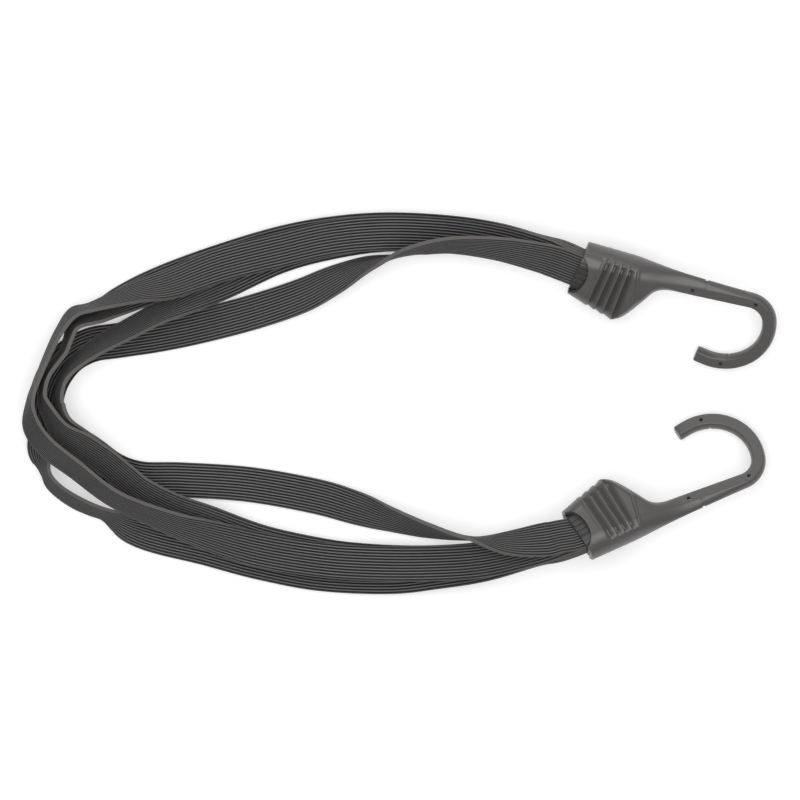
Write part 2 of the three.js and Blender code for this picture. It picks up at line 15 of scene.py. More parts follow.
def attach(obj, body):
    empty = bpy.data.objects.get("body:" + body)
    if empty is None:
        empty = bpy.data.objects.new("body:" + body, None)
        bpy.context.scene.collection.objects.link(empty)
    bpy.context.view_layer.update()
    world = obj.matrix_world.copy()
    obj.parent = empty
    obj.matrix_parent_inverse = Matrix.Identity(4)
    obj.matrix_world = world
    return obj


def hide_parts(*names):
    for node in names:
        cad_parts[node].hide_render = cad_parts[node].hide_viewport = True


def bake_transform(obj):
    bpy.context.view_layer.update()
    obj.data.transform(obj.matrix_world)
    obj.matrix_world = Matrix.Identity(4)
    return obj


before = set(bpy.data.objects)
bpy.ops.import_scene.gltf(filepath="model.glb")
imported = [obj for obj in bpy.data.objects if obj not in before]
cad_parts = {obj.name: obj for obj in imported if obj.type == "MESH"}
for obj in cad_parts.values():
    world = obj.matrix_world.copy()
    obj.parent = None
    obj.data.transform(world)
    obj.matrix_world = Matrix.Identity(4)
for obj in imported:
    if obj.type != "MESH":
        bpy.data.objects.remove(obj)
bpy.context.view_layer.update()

# Camera, straight above the table
PICTURE_CENTRE = (-0.1379, 0.0)
PICTURE_WIDTH = 0.4103
CAMERA_HEIGHT = 12.0
CAMERA_REACH = 40.0
SENSOR = 36.0  # millimetres

# Light: the lamps, in metres and watts, and the strength of the surroundings
LAMPS = {
    "overhead": {"at": (-0.14, 0, 2.0), "size": 2.0, "power": 36},
    "side a": {"at": (-0.2, 1.7, 0.8), "size": 0.9, "power": 9},
    "side b": {"at": (0.0, -1.2, 1.6), "size": 0.8, "power": 4},
}
WORLD_STRENGTH = 0.2
WHITE = (1, 1, 1, 1)

# Table
PAPER_COLOR = (0.72, 0.72, 0.72)
PAPER_ROUGHNESS = 0.9
PAPER_GLOW = 0.4  # lifts the table to white where the camera sees it
FLOOR_SPAN = 6.0
FLOOR_DROP = 0.0002  # how far the table lies below z = 0

# Materials
MOULDING_COLOR = (0.09, 0.086, 0.084)
MOULDING_ROUGHNESS = 0.32
# Painted shade, darkening the floors of the grip's grooves
GROOVE_SHADE_COLOR = (0.042, 0.04, 0.039)
COLLAR_COLOR = (0.043, 0.041, 0.04)
COLLAR_ROUGHNESS = 0.42
STEEL_COLOR = (0.45, 0.46, 0.47)
STEEL_ROUGHNESS = 0.35
WEDGE_COLOR = (0.25, 0.25, 0.26)
WEDGE_ROUGHNESS = 0.5
# The elastic's own colour shows at the rib crests, made light as a painted highlight along each rib; its
# valleys take the weave's darker gaps together with painted shade
BAND_COLOR = (0.18, 0.175, 0.176)
BAND_GAP_AND_SHADE_COLOR = (0.002, 0.002, 0.0022)
BAND_EDGE_COLOR = (0.11, 0.103, 0.098)
BAND_ROUGHNESS = 0.8
PLASTIC_GRAIN = {"scale": 2200, "strength": 0.25, "depth": 0.0001}
BAND_GRAIN = {"scale": 3000, "strength": 0.5, "depth": 0.0002}
GRAIN_DETAIL = 3

# Bands
FIT_GAP = 0.0003
BAND_WIDTH = 0.018
BAND_THICKNESS = 0.002
BAND_COUNT = 4
LAYER_PITCH = BAND_THICKNESS + FIT_GAP  # from band to band in a socket
RIBS = 12
RIB_DEPTH = 0.0006
RIB_SHARPNESS = 0.45  # below 1 the painted highlight line on each rib's crest is narrow
BAND_SELVAGE = 0.0008  # width of the strip along each edge that takes the edge's colour
TAIL_LENGTH = 0.024
LEAD_LENGTH = 0.010

# Hook: rod, bend and point
ROD_WIDTH = 0.0075
ROD_THICKNESS = 0.007
ROD_FLAT = 0.005
ROD_EDGE = 50  # degrees that a side of the rod turns before it meets the flat
SHANK_LENGTH = 0.0898
TIGHT_RADIUS = 0.012  # first stretch of the bend
TIGHT_SWEEP = 77  # degrees
WIDE_RADIUS = 0.0242  # the rest of it
BEND_SWEEP = 192  # degrees of both stretches together
POINT_LENGTH = 0.0055
POINT_ROUNDING = 0.0008

# Hook: socket, belly and neck
SOCKET_THICKNESS = 0.020
SOCKET_ROUNDING = 0.009
SOCKET_EDGE = 90  # degrees that a side of the socket turns
SOCKET_WALL = 0.0023
MOUTH_WIDTH = 0.0292
MOUTH_CENTRE = -0.0026
MOUTH_SLANT = math.radians(12)
MOUTH_LIP = 0.0006
CRESCENT_REACH = 0.006
CRESCENT_WIDTH = 0.022
CAVITY_DEPTH = 0.032
CAVITY_LEAD = 0.010  # how far its cutter starts outside the mouth
BELLY_AT = 0.0277
BELLY_DEPTH = 0.028
BELLY_CORNER = 0.004
NECK_START = 0.0395
NECK_DEPTH = 0.0085
NECK_END = 0.050
THINNING_START = 0.024
THINNING_END = 0.062
LEAST_ROUNDING = 0.0005

# Hook: finger grip, a recessed panel with grooves across it
GRIP_START = 0.012
GRIP_PITCH = 0.0044
GRIP_GROOVES = 4
GRIP_DEPTH = 0.0013
GRIP_BELLY_DEPTH = 0.0005  # depth of a groove where it ends at the belly
GRIP_RECESS = (0.0001, 0.0007)  # depth of the panel between the grooves, at its near and far end
GRIP_SPINE_INSET = 0.0014  # from the spine to the panel
GRIP_FADE = 0.0024  # how far the panel runs out towards the spine
GRIP_EDGE = 0.0007  # width of the step at the near and far edge of the panel
GRIP_RIM = 0.0004  # height of the bead round the panel
GRIP_RIM_WIDTH = 0.0024
GRIP_END = [(-0.030, 0.022), (-0.021, 0.0278), (-0.010, 0.0334), (0.0092, 0.0295)]  # far edge, y and x
GROOVE = [(0, 0), (0.12, 1), (0.3, 0.95), (0.7, 0.2), (0.88, 0), (1, 0)]  # share of pitch, share of depth

# Hook: collar, wedge, core, pin holes and nicks
COLLAR_DEPTH = 0.0065
COLLAR_CUT = 4 * COLLAR_DEPTH  # length of the cutters, which run out at both ends
COLLAR_SLOTS = 6
COLLAR_SLOT_WIDTH = 0.0013
COLLAR_SLOT_DEPTH = 0.0006
WEDGE_BACK = 0.003
CORE_DIAMETER = 0.003
CORE_START = 0.040
CORE_SHORT_OF_POINT = 0.003
PIN_DIAMETER = 0.002
FIRST_PIN = 0.0602  # along the shank
SECOND_PIN = 16.5  # degrees round the bend
THIRD_PIN = 172  # degrees round the bend
NICK_WIDTH = 0.0015
NICK_DEPTH = 0.0005
SHANK_NICK = 0.0663  # along the shank
BEND_NICK = 162  # degrees round the bend

# Steps and sides of the meshes, creases in degrees
RIB_STEPS = 4
STEPS_PER_CONTROL = 11
TAIL_POINTS = 3
BAND_CREASE = 70
QUARTER_STEPS = 20
FLAT_STEPS = 16
EASED_STEPS = 6
EASED_SPAN = 2  # steps of a side that its eased corner takes up
CURVE_STEPS = 16
LIP_SHARES = (1, 0.8, 0.4)  # where the lip has rings, from the mouth
SOCKET_STEPS = 100
SHANK_STEPS = 50
BEND_STEPS = 80
POINT_STEPS = 5
CAVITY_STEPS = 24
CRESCENT_SIDES = 48
BORE_STEPS = 40
BORE_SIDES = 16
PIN_SIDES = 24
COLLAR_STEPS = 8
HOOK_CREASE = 40
WELD_DISTANCE = 0.000002

# How each hook lies: its visible face at the first pin, its heading, the axis and size of its tilt, in
# degrees, and which face is up
HOOKS = {
    "hook_a": {"at": (0.0118, 0.0559), "heading": -11.3, "tilt_axis": -18, "tilt": 30, "up": 1},
    "hook_b": {"at": (0.0099, -0.0502), "heading": 20.7, "tilt_axis": 8, "tilt": -23.7, "up": -1},
}

# Routes of the bands from hook a to hook b: x, y and height in metres, and roll in degrees
ROUTES = {
    "band_outer": [
        (-0.0665, 0.0752, 0.0185, 24), (-0.0885, 0.0808, 0.0146, 13), (-0.1145, 0.0844, 0.0108, 4),
        (-0.1455, 0.0856, 0.0082, 0), (-0.1735, 0.083, 0.0076, -2), (-0.1995, 0.077, 0.0076, -5),
        (-0.2305, 0.069, 0.0086, -12), (-0.2555, 0.0595, 0.011, -32), (-0.2735, 0.055, 0.0145, -57),
        (-0.2955, 0.0478, 0.015, -78), (-0.3055, 0.0445, 0.015, -76), (-0.3125, 0.035, 0.015, -80),
        (-0.3175, 0.025, 0.015, -82), (-0.322, 0.0145, 0.015, -84), (-0.327, 0.001, 0.016, -82),
        (-0.3275, -0.011, 0.02, -66), (-0.3195, -0.0235, 0.025, -60), (-0.3035, -0.036, 0.026, -62),
        (-0.284, -0.0505, 0.0275, -64), (-0.2575, -0.062, 0.0185, -54), (-0.2385, -0.0685, 0.012, -36),
        (-0.2105, -0.0765, 0.0088, -10), (-0.1815, -0.0815, 0.0082, -3), (-0.1585, -0.0835, 0.0084, 0),
        (-0.1275, -0.084, 0.011, 6), (-0.0965, -0.0822, 0.0175, 13), (-0.0685, -0.076, 0.025, 20),
    ],
    "band_inner": [
        (-0.0665, 0.076, 0.0164, 24), (-0.0885, 0.082, 0.0122, 13), (-0.1145, 0.0858, 0.0082, 4),
        (-0.1455, 0.0872, 0.0056, 0), (-0.1735, 0.085, 0.005, -2), (-0.1995, 0.08, 0.005, -4),
        (-0.2295, 0.071, 0.005, -8), (-0.2575, 0.061, 0.0056, -18), (-0.2795, 0.0515, 0.007, -38),
        (-0.2925, 0.044, 0.0105, -60), (-0.3045, 0.0385, 0.013, -74), (-0.308, 0.031, 0.013, -78),
        (-0.3105, 0.0245, 0.013, -80), (-0.318, 0.014, 0.013, -82), (-0.321, 0.006, 0.013, -80),
        (-0.321, -0.001, 0.0135, -76), (-0.3175, -0.008, 0.016, -68), (-0.3115, -0.0168, 0.0184, -56),
        (-0.3015, -0.023, 0.0174, -46), (-0.2895, -0.031, 0.015, -45), (-0.2795, -0.0393, 0.0132, -43),
        (-0.2699, -0.047, 0.012, -42), (-0.2545, -0.0555, 0.0102, -34), (-0.2385, -0.0615, 0.0086, -28),
        (-0.2105, -0.0725, 0.006, -11), (-0.1815, -0.0792, 0.0054, -3), (-0.1585, -0.0823, 0.0058, 0),
        (-0.1275, -0.0836, 0.0083, 6), (-0.0965, -0.0816, 0.0148, 13), (-0.0685, -0.0755, 0.0223, 20),
    ],
    "band_crossing": [
        (-0.0665, 0.0762, 0.0136, 24), (-0.0885, 0.0814, 0.0095, 13), (-0.1145, 0.0844, 0.0056, 4),
        (-0.1455, 0.085, 0.003, 0), (-0.1735, 0.081, 0.0024, 0), (-0.1995, 0.074, 0.0024, -2),
        (-0.2255, 0.062, 0.0032, -8), (-0.2455, 0.0525, 0.0072, -34), (-0.2625, 0.044, 0.011, -54),
        (-0.2765, 0.0365, 0.012, -58), (-0.2905, 0.029, 0.0125, -62), (-0.3015, 0.0215, 0.013, -68),
        (-0.3095, 0.013, 0.013, -76), (-0.3125, 0.005, 0.013, -78), (-0.313, -0.003, 0.013, -74),
        (-0.3115, -0.01, 0.015, -64), (-0.3065, -0.018, 0.0126, -40), (-0.2965, -0.027, 0.0062, -20),
        (-0.2845, -0.036, 0.003, -8), (-0.2705, -0.0405, 0.002, -3), (-0.2495, -0.041, 0.0018, 0),
        (-0.2155, -0.0433, 0.0018, -1), (-0.1815, -0.0493, 0.0026, -8), (-0.1605, -0.0553, 0.0048, -24),
        (-0.1435, -0.0608, 0.008, -50), (-0.1275, -0.0656, 0.0115, -66), (-0.1125, -0.069, 0.015, -80),
        (-0.0985, -0.071, 0.02, -95), (-0.0805, -0.0728, 0.0265, -132),
        (-0.0645, -0.0715, 0.0306, -158),
    ],
    "band_drooping": [
        (-0.0665, 0.073, 0.0235, 38), (-0.0885, 0.0775, 0.023, 54), (-0.1115, 0.0792, 0.022, 67),
        (-0.1285, 0.0769, 0.0188, 76), (-0.1415, 0.073, 0.0116, 91), (-0.1555, 0.069, 0.0088, 114),
        (-0.1725, 0.061, 0.0064, 142), (-0.1895, 0.053, 0.0038, 162), (-0.2135, 0.045, 0.0022, 174),
        (-0.2405, 0.038, 0.0016, 178), (-0.2625, 0.0335, 0.0014, 180), (-0.2825, 0.0305, 0.0014, 180),
        (-0.2955, 0.0285, 0.0014, 180), (-0.3065, 0.023, 0.0014, 180), (-0.314, 0.0145, 0.0014, 180),
        (-0.3183, 0.005, 0.0014, 180), (-0.32, -0.006, 0.0014, 180), (-0.3184, -0.014, 0.0018, 178),
        (-0.32, -0.022, 0.0032, 166), (-0.3208, -0.03, 0.0084, 116), (-0.3195, -0.037, 0.0095, 103),
        (-0.3165, -0.043, 0.0094, 106), (-0.311, -0.048, 0.0094, 107), (-0.304, -0.0524, 0.0094, 108),
        (-0.2967, -0.0558, 0.0094, 107), (-0.2885, -0.0588, 0.0092, 108),
        (-0.281, -0.0624, 0.0078, 128), (-0.2725, -0.0664, 0.0044, 157), (-0.26, -0.0704, 0.0022, 173),
        (-0.2385, -0.0755, 0.0016, 179), (-0.2105, -0.083, 0.0015, 180), (-0.1785, -0.089, 0.0016, 180),
        (-0.1435, -0.0905, 0.0028, 182), (-0.1195, -0.088, 0.0066, 187), (-0.0945, -0.084, 0.013, 193),
        (-0.0685, -0.0765, 0.0196, 200),
    ],
}

# Layer of each band in each socket, from the top, whether hook b holds it turned over, and how far it
# swings in that hook's plane as it leaves the mouth
LAYERS = {
    "band_outer": {"hook_a": 1, "hook_b": 1, "turned": False, "swing": 14},
    "band_inner": {"hook_a": 2, "hook_b": 2, "turned": False, "swing": 14},
    "band_crossing": {"hook_a": 3, "hook_b": 0, "turned": True, "swing": 20},
    "band_drooping": {"hook_a": 0, "hook_b": 3, "turned": True, "swing": 14},
}


def smoothstep(x, low, high):
    t = np.clip((x - low) / (high - low), 0, 1)
    return t * t * (3 - 2 * t)


def lerp(a, b, t):
    return a + (b - a) * t


def unit(vectors):
    return vectors / np.linalg.norm(vectors, axis=-1, keepdims=True)


# Camera and light
scene = bpy.context.scene
scene.view_settings.view_transform = "Standard"
camera = bpy.data.objects.new("camera", bpy.data.cameras.new("camera"))
scene.collection.objects.link(camera)
scene.camera = camera
camera.location = (*PICTURE_CENTRE, CAMERA_HEIGHT)
camera.data.sensor_width = SENSOR
camera.data.lens = SENSOR * CAMERA_HEIGHT / PICTURE_WIDTH
camera.data.clip_end = CAMERA_REACH


def area_light(name, place, size, power):
    """A square lamp that faces the middle of the picture."""
    light = bpy.data.lights.new(name, "AREA")
    light.size = size
    light.energy = power
    lamp = bpy.data.objects.new(name, light)
    scene.collection.objects.link(lamp)
    lamp.location = place
    aim = Vector((*PICTURE_CENTRE, 0)) - Vector(place)
    lamp.rotation_euler = aim.to_track_quat("-Z", "Y").to_euler()


for name, lamp in LAMPS.items():
    area_light(name, lamp["at"], lamp["size"], lamp["power"])
world = bpy.data.worlds.new("studio")
scene.world = world
world.use_nodes = True
surroundings = world.node_tree.nodes["Background"]
surroundings.inputs["Color"].default_value = WHITE
surroundings.inputs["Strength"].default_value = WORLD_STRENGTH


# Materials
def shader_of(finish):
    return finish.node_tree.nodes["Principled BSDF"]


def material(name, color, roughness, metallic=0.0):
    made = bpy.data.materials.new(name)
    made.use_nodes = True
    shader = shader_of(made)
    shader.inputs["Base Color"].default_value = (*color, 1)
    shader.inputs["Roughness"].default_value = roughness
    shader.inputs["Metallic"].default_value = metallic
    return made


def add_grain(finish, scale, strength, depth):
    """Roughens a material with fine bumps."""
    tree = finish.node_tree
    coordinates = tree.nodes.new("ShaderNodeTexCoord")
    noise = tree.nodes.new("ShaderNodeTexNoise")
    noise.inputs["Scale"].default_value = scale
    noise.inputs["Detail"].default_value = GRAIN_DETAIL
    bump = tree.nodes.new("ShaderNodeBump")
    bump.inputs["Strength"].default_value = strength
    bump.inputs["Distance"].default_value = depth
    tree.links.new(coordinates.outputs["Object"], noise.inputs["Vector"])
    tree.links.new(noise.outputs["Fac"], bump.inputs["Height"])
    tree.links.new(bump.outputs["Normal"], shader_of(finish).inputs["Normal"])


def add_tint(finish, attribute, color):
    """Mixes a colour into the base colour where a point attribute of the mesh is high."""
    tree = finish.node_tree
    base = shader_of(finish).inputs["Base Color"]
    amount = tree.nodes.new("ShaderNodeAttribute")
    amount.attribute_name = attribute
    tint = tree.nodes.new("ShaderNodeMix")
    tint.data_type = "RGBA"
    tint.inputs["A"].default_value = base.default_value
    tint.inputs["B"].default_value = (*color, 1)
    tree.links.new(amount.outputs["Fac"], tint.inputs["Factor"])
    for link in base.links:
        tree.links.new(link.from_socket, tint.inputs["A"])
    tree.links.new(tint.outputs["Result"], base)


moulding = material("moulding plastic", MOULDING_COLOR, MOULDING_ROUGHNESS)
add_grain(moulding, **PLASTIC_GRAIN)
# Painted shade in the floors of the grip's grooves
add_tint(moulding, "groove", GROOVE_SHADE_COLOR)
collar_plastic = material("collar plastic", COLLAR_COLOR, COLLAR_ROUGHNESS)
add_grain(collar_plastic, **PLASTIC_GRAIN)
steel = material("steel", STEEL_COLOR, STEEL_ROUGHNESS, metallic=1.0)
wedge_plastic = material("wedge plastic", WEDGE_COLOR, WEDGE_ROUGHNESS)
elastic = material("woven elastic", BAND_COLOR, BAND_ROUGHNESS)
add_grain(elastic, **BAND_GRAIN)
# The rib valleys take the weave's darker gaps together with painted shade, leaving a painted highlight on
# each crest
add_tint(elastic, "gap_and_shade", BAND_GAP_AND_SHADE_COLOR)
add_tint(elastic, "edge", BAND_EDGE_COLOR)


# Meshes
def mesh_object(name, points, faces, finish):
    mesh = bpy.data.meshes.new(name)
    mesh.from_pydata([tuple(p) for p in points], [], faces)
    mesh.shade_smooth()
    mesh.materials.append(finish)
    made = bpy.data.objects.new(name, mesh)
    scene.collection.objects.link(made)
    return made


def loft(name, rings, finish):
    """A closed skin through rings that run counter-clockwise about the direction of travel."""
    count = len(rings[0])
    faces = []
    for r in range(len(rings) - 1):
        for i in range(count):
            a, b = r * count + i, r * count + (i + 1) % count
            faces.append((a, b, b + count, a + count))
    last = (len(rings) - 1) * count
    faces.append(tuple(reversed(range(count))))
    faces.append(tuple(range(last, last + count)))
    return mesh_object(name, np.concatenate(rings), faces, finish)


def prism(name, outline, low, high, finish):
    """A closed prism between two heights, over an outline that runs counter-clockwise."""
    rings = [np.column_stack([outline, np.full(len(outline), z)]) for z in (low, high)]
    return loft(name, rings, finish)


def cut(target, *cutters):
    """Takes the cutters away from the target, and removes them."""
    bpy.context.view_layer.objects.active = target
    for cutter in cutters:
        boolean = target.modifiers.new("cut", "BOOLEAN")
        boolean.operation = "DIFFERENCE"
        boolean.solver = "MANIFOLD"
        boolean.object = cutter
        bpy.ops.object.modifier_apply(modifier=boolean.name)
        bpy.data.objects.remove(cutter)
    return target


def weld(target):
    """Joins points that the cuts leave almost on top of each other."""
    mesh = bmesh.new()
    mesh.from_mesh(target.data)
    bmesh.ops.remove_doubles(mesh, verts=mesh.verts, dist=WELD_DISTANCE)
    bmesh.ops.dissolve_degenerate(mesh, edges=mesh.edges, dist=WELD_DISTANCE)
    mesh.to_mesh(target.data)
    mesh.free()


def sharpen(target, degrees):
    """Shades a mesh smooth, apart from the edges that turn by more than an angle."""
    target.data.shade_smooth()
    target.data.set_sharp_from_angle(angle=math.radians(degrees))


def shade_points(target, attribute, values):
    made = target.data.attributes.new(attribute, "FLOAT", "POINT")
    made.data.foreach_set("value", values)


# Flat outlines
def quadratic(start, control, end, steps):
    t = np.linspace(0, 1, steps)[:, None]
    start, control, end = np.array(start), np.array(control), np.array(end)
    return start * (1 - t) ** 2 + control * 2 * t * (1 - t) + end * t**2


def turned(outline, angle):
    c, s = math.cos(angle), math.sin(angle)
    return np.array(outline) @ np.array([[c, s], [-s, c]])


def rectangle(length, width):
    return np.array([(-length, -width), (length, -width), (length, width), (-length, width)]) / 2


def circle(radius, sides):
    turn = np.linspace(0, 2 * math.pi, sides, endpoint=False)
    return radius * np.stack([np.cos(turn), np.sin(turn)], 1)


# Hook shape, in the hook's own frame: x along the shank from the mouth, y to the spine
def at_mouth(outline):
    """An outline about the origin, turned and moved to the slanted mouth."""
    return turned(outline, -MOUTH_SLANT) + (0, MOUTH_CENTRE)


def belly_line():
    """Points (x, y) of the belly's edge, from the mouth round the corner and the neck to the rod."""
    mouth = MOUTH_CENTRE - MOUTH_WIDTH / 2
    slope = (-BELLY_DEPTH - mouth) / BELLY_AT
    taper = (BELLY_DEPTH - NECK_DEPTH) / (NECK_START - BELLY_AT)
    before = (BELLY_AT - BELLY_CORNER, -BELLY_DEPTH - slope * BELLY_CORNER)
    after = (BELLY_AT + BELLY_CORNER, -BELLY_DEPTH + taper * BELLY_CORNER)
    rod = -ROD_WIDTH / 2
    meet = (NECK_START + (NECK_DEPTH + rod) / taper, rod)
    return np.concatenate([
        [(0, mouth)],
        quadratic(before, (BELLY_AT, -BELLY_DEPTH), after, CURVE_STEPS),
        quadratic((NECK_START, -NECK_DEPTH), meet, (NECK_END, rod), CURVE_STEPS),
        [(SHANK_LENGTH, rod)],
    ])


BELLY_LINE = belly_line()


def outline_at(x, inset=0.0):
    """The measures of a section of the socket, neck or shank, drawn in all round by an inset."""
    along = np.clip(x, 0, SHANK_LENGTH)
    thin = smoothstep(along, THINNING_START, THINNING_END)
    spine = lerp(MOUTH_CENTRE + MOUTH_WIDTH / 2, ROD_WIDTH / 2, along / SHANK_LENGTH)
    belly_rounding = lerp(SOCKET_ROUNDING, (ROD_WIDTH - ROD_FLAT) / 2, thin)
    return {
        "spine": spine - inset,
        "belly": np.interp(along, BELLY_LINE[:, 0], BELLY_LINE[:, 1]) + inset,
        "half": lerp(SOCKET_THICKNESS, ROD_THICKNESS, thin) / 2 - inset,
        "spine_rounding": max(spine - ROD_FLAT / 2 - inset / 2, LEAST_ROUNDING),
        "belly_rounding": max(belly_rounding - inset / 2, LEAST_ROUNDING),
        "edge": math.radians(lerp(SOCKET_EDGE, ROD_EDGE, thin)),
        "shear": math.tan(MOUTH_SLANT) * (1 - smoothstep(along, BELLY_AT / 2, NECK_END)),
    }


def eased(side, inwards):
    """A side of a section with its last corner, where it meets the flat face, rounded off."""
    first = -1 - EASED_SPAN
    start, corner = side[first], side[-1]
    end = corner + (inwards * np.linalg.norm(start - corner), 0)
    return np.concatenate([side[:first], quadratic(start, corner, end, EASED_STEPS)])


def outline_ring(shape):
    """Points (y, z) of a section: spine, front, belly, back."""
    angle = np.linspace(0, shape["edge"], QUARTER_STEPS + 1)
    inward = (1 - np.cos(angle)) / (1 - math.cos(shape["edge"]))
    height = shape["half"] * np.sin(angle) / math.sin(shape["edge"])
    spine_side = np.stack([shape["spine"] - shape["spine_rounding"] * inward, height], 1)
    belly_side = np.stack([shape["belly"] + shape["belly_rounding"] * inward, height], 1)
    spine_side, belly_side = eased(spine_side, -1), eased(belly_side, 1)
    flat = np.linspace(spine_side[-1], belly_side[-1], FLAT_STEPS + 1)[1:-1]
    front = np.concatenate([spine_side, flat, belly_side[::-1]])
    back = front[1:-1][::-1] * (1, -1)
    return np.concatenate([front, back])


def grip_depth(x, y, shape):
    """Depth of the finger grip, a grooved panel with a bead round it, and how far a point is in a groove,
    which sets the painted shade there.
    """
    along = (x - GRIP_START) / GRIP_PITCH
    groove = np.interp(along % 1.0, *zip(*GROOVE)) if 0 <= along <= GRIP_GROOVES else 0.0
    depth = lerp(*GRIP_RECESS, along / GRIP_GROOVES) + GRIP_DEPTH * groove
    end = np.interp(y, *zip(*GRIP_END))
    top = shape["spine"] - GRIP_SPINE_INSET
    inside = smoothstep(x, GRIP_START - GRIP_EDGE, GRIP_START) * (1 - smoothstep(x, end - GRIP_EDGE, end))
    inside = inside * (1 - smoothstep(y, top - GRIP_FADE, top))
    near = smoothstep(x, GRIP_START - GRIP_RIM_WIDTH, GRIP_START)
    near = near * (1 - smoothstep(x, end - GRIP_EDGE, end - GRIP_EDGE + GRIP_RIM_WIDTH))
    near = near * (1 - smoothstep(y, top - GRIP_FADE, top - GRIP_FADE + GRIP_RIM_WIDTH))
    rim = GRIP_RIM * 4 * near * (1 - near)  # at its full height halfway
    fade = smoothstep(y, shape["belly"], shape["belly"] + SOCKET_ROUNDING)
    # The second value is the mask of painted shade in the groove floors
    return (depth * inside - rim) * lerp(GRIP_BELLY_DEPTH / GRIP_DEPTH, 1, fade), groove * inside * fade


def socket_ring(x, inset=0.0, gripped=False):
    shape = outline_at(x, inset)
    ring = outline_ring(shape)
    if gripped:
        along = np.roll(ring, -1, 0) - np.roll(ring, 1, 0)
        outward = unit(np.stack([along[:, 1], -along[:, 0]], 1))
        ring = ring - outward * grip_depth(x, ring[:, 0], shape)[0][:, None]
    return np.stack([x + shape["shear"] * (ring[:, 0] - MOUTH_CENTRE), ring[:, 0], ring[:, 1]], 1)


def bend_point(degrees, beyond=0.0):
    """The middle of the rod at an angle round the bend, and straight on beyond it."""
    angle = math.radians(degrees)
    tight = min(angle, math.radians(TIGHT_SWEEP))
    x = TIGHT_RADIUS * math.sin(tight) + WIDE_RADIUS * (math.sin(angle) - math.sin(tight))
    y = TIGHT_RADIUS * (math.cos(tight) - 1) + WIDE_RADIUS * (math.cos(angle) - math.cos(tight))
    return np.array([SHANK_LENGTH + x + beyond * math.cos(angle), y - beyond * math.sin(angle), 0])


def across_bend(section, degrees, beyond=0.0):
    """A section, as points (y, z), set square to the rod at an angle round the bend."""
    angle = math.radians(degrees)
    outward = np.array([math.sin(angle), math.cos(angle), 0])
    points = bend_point(degrees, beyond) + section[:, :1] * outward
    points[:, 2] = section[:, 1]
    return points


def bend_ring(degrees, beyond=0.0, inset=0.0):
    return across_bend(outline_ring(outline_at(SHANK_LENGTH, inset)), degrees, beyond)


def lip_rings():
    """Rings of the rounded lip, from the mouth inwards."""
    rings = []
    for share in LIP_SHARES:
        inset = MOUTH_LIP * (1 - math.sqrt(1 - share * share))
        rings.append(socket_ring(MOUTH_LIP * (1 - share), inset))
    return rings


def grip_places():
    """Where the socket has a ring, to the micrometre: at even steps and at each corner of the grooves."""
    grooves = [GRIP_START + (i + at) * GRIP_PITCH for i in range(GRIP_GROOVES) for at, _ in GROOVE]
    even = np.linspace(MOUTH_LIP, NECK_START, SOCKET_STEPS)
    return np.unique(np.concatenate([even, grooves]).round(6))


def point_rings():
    """Rings of the straight point after the bend, with a rounded end."""
    rings = []
    for turn in np.linspace(0, math.pi / 2, POINT_STEPS):
        beyond = POINT_LENGTH - POINT_ROUNDING * (1 - math.sin(turn))
        rings.append(bend_ring(BEND_SWEEP, beyond, POINT_ROUNDING * (1 - math.cos(turn))))
    return rings


def bore_cutter():
    """The bore of the core, along the shank, round the bend and into the point."""
    section = circle(CORE_DIAMETER / 2 + FIT_GAP, BORE_SIDES)
    start = np.column_stack([np.full(BORE_SIDES, CORE_START - FIT_GAP), section])
    bend = [across_bend(section, degrees) for degrees in np.linspace(0, BEND_SWEEP, BORE_STEPS)]
    end = across_bend(section, BEND_SWEEP, POINT_LENGTH - CORE_SHORT_OF_POINT + FIT_GAP)
    return loft("bore", [start, *bend, end], moulding)


def nick_cutter(centre, degrees, drawn_in):
    """A notch across one side of the rod: a box outside it, less the rod drawn in by the notch's depth."""
    box = rectangle(NICK_WIDTH, ROD_WIDTH) + (0, (ROD_FLAT + ROD_WIDTH) / 2)
    outline = turned(box, math.radians(degrees)) + centre[:2]
    nick = prism("nick", outline, -ROD_THICKNESS, ROD_THICKNESS, moulding)
    return cut(nick, loft("rod", drawn_in, moulding))


def nick_cutters():
    """One nick across the shank and one across the bend."""
    shank_rings = [socket_ring(SHANK_NICK + side * NICK_WIDTH, NICK_DEPTH) for side in (-1, 1)]
    nick_turn = math.degrees(NICK_WIDTH / WIDE_RADIUS)
    bend_rings = [bend_ring(BEND_NICK + side * nick_turn, 0, NICK_DEPTH) for side in (-1, 0, 1)]
    return [
        nick_cutter(np.array([SHANK_NICK, 0, 0]), 0, shank_rings),
        nick_cutter(bend_point(BEND_NICK), 180 - BEND_NICK, bend_rings),
    ]


def hook_cutters():
    """All that is taken out of the moulding: cavity, crescents, bore, pin holes and nicks."""
    reach = SOCKET_THICKNESS  # clear of both faces
    cavity_places = np.linspace(-CAVITY_LEAD, CAVITY_DEPTH, CAVITY_STEPS)
    crescent = at_mouth(circle(1, CRESCENT_SIDES) * (CRESCENT_REACH, CRESCENT_WIDTH / 2))
    cutters = [
        loft("cavity", [socket_ring(x, SOCKET_WALL) for x in cavity_places], moulding),
        prism("crescent", crescent, -reach, reach, moulding),
        bore_cutter(),
    ]
    for place in [np.array([FIRST_PIN, 0, 0]), bend_point(SECOND_PIN), bend_point(THIRD_PIN)]:
        hole = circle(PIN_DIAMETER / 2, PIN_SIDES) + place[:2]
        cutters.append(prism("pin", hole, -reach, reach, moulding))
    return cutters + nick_cutters()


